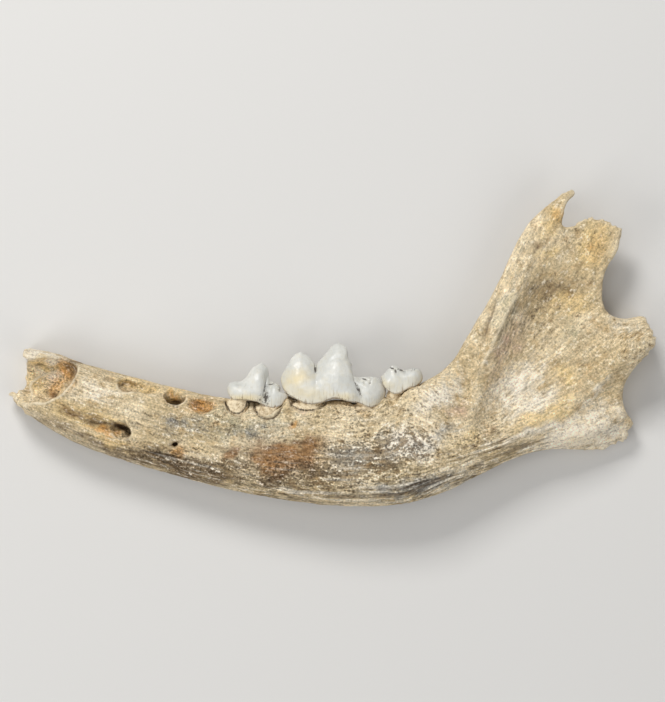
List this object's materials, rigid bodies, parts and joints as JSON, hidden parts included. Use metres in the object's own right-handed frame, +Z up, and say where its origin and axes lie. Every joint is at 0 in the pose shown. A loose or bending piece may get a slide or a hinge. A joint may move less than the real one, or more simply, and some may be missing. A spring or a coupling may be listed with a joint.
{
  "type": "fossil wolf jaw",
  "caption": "Left half of a fossil wolf's lower jaw, toothless and broken at the front, with cheek teeth in place and a weathered ramus. It lies on its inner side.",
  "frame": {"origin": "centre of the part's box in X and Y, at the level of the surface it lies on", "axes": "+X runs back along the jaw to its hinge, +Y towards the tooth row and the tall rear process, +Z up, out of the cheek side"},
  "size_m": [0.1809, 0.0891, 0.019],
  "materials": {
    "bone": "weathered matt fossil bone, cream with orange, brown and blue-grey mineral stains",
    "enamel": "polished enamel, white with cream zones and brown lines at the necks"
  },
  "bodies": {
    "root": {"jaw_bone": "bone", "carnassial_m1": "enamel", "premolar_p4": "enamel", "molar_m2": "enamel"}
  },
  "joints": []
}
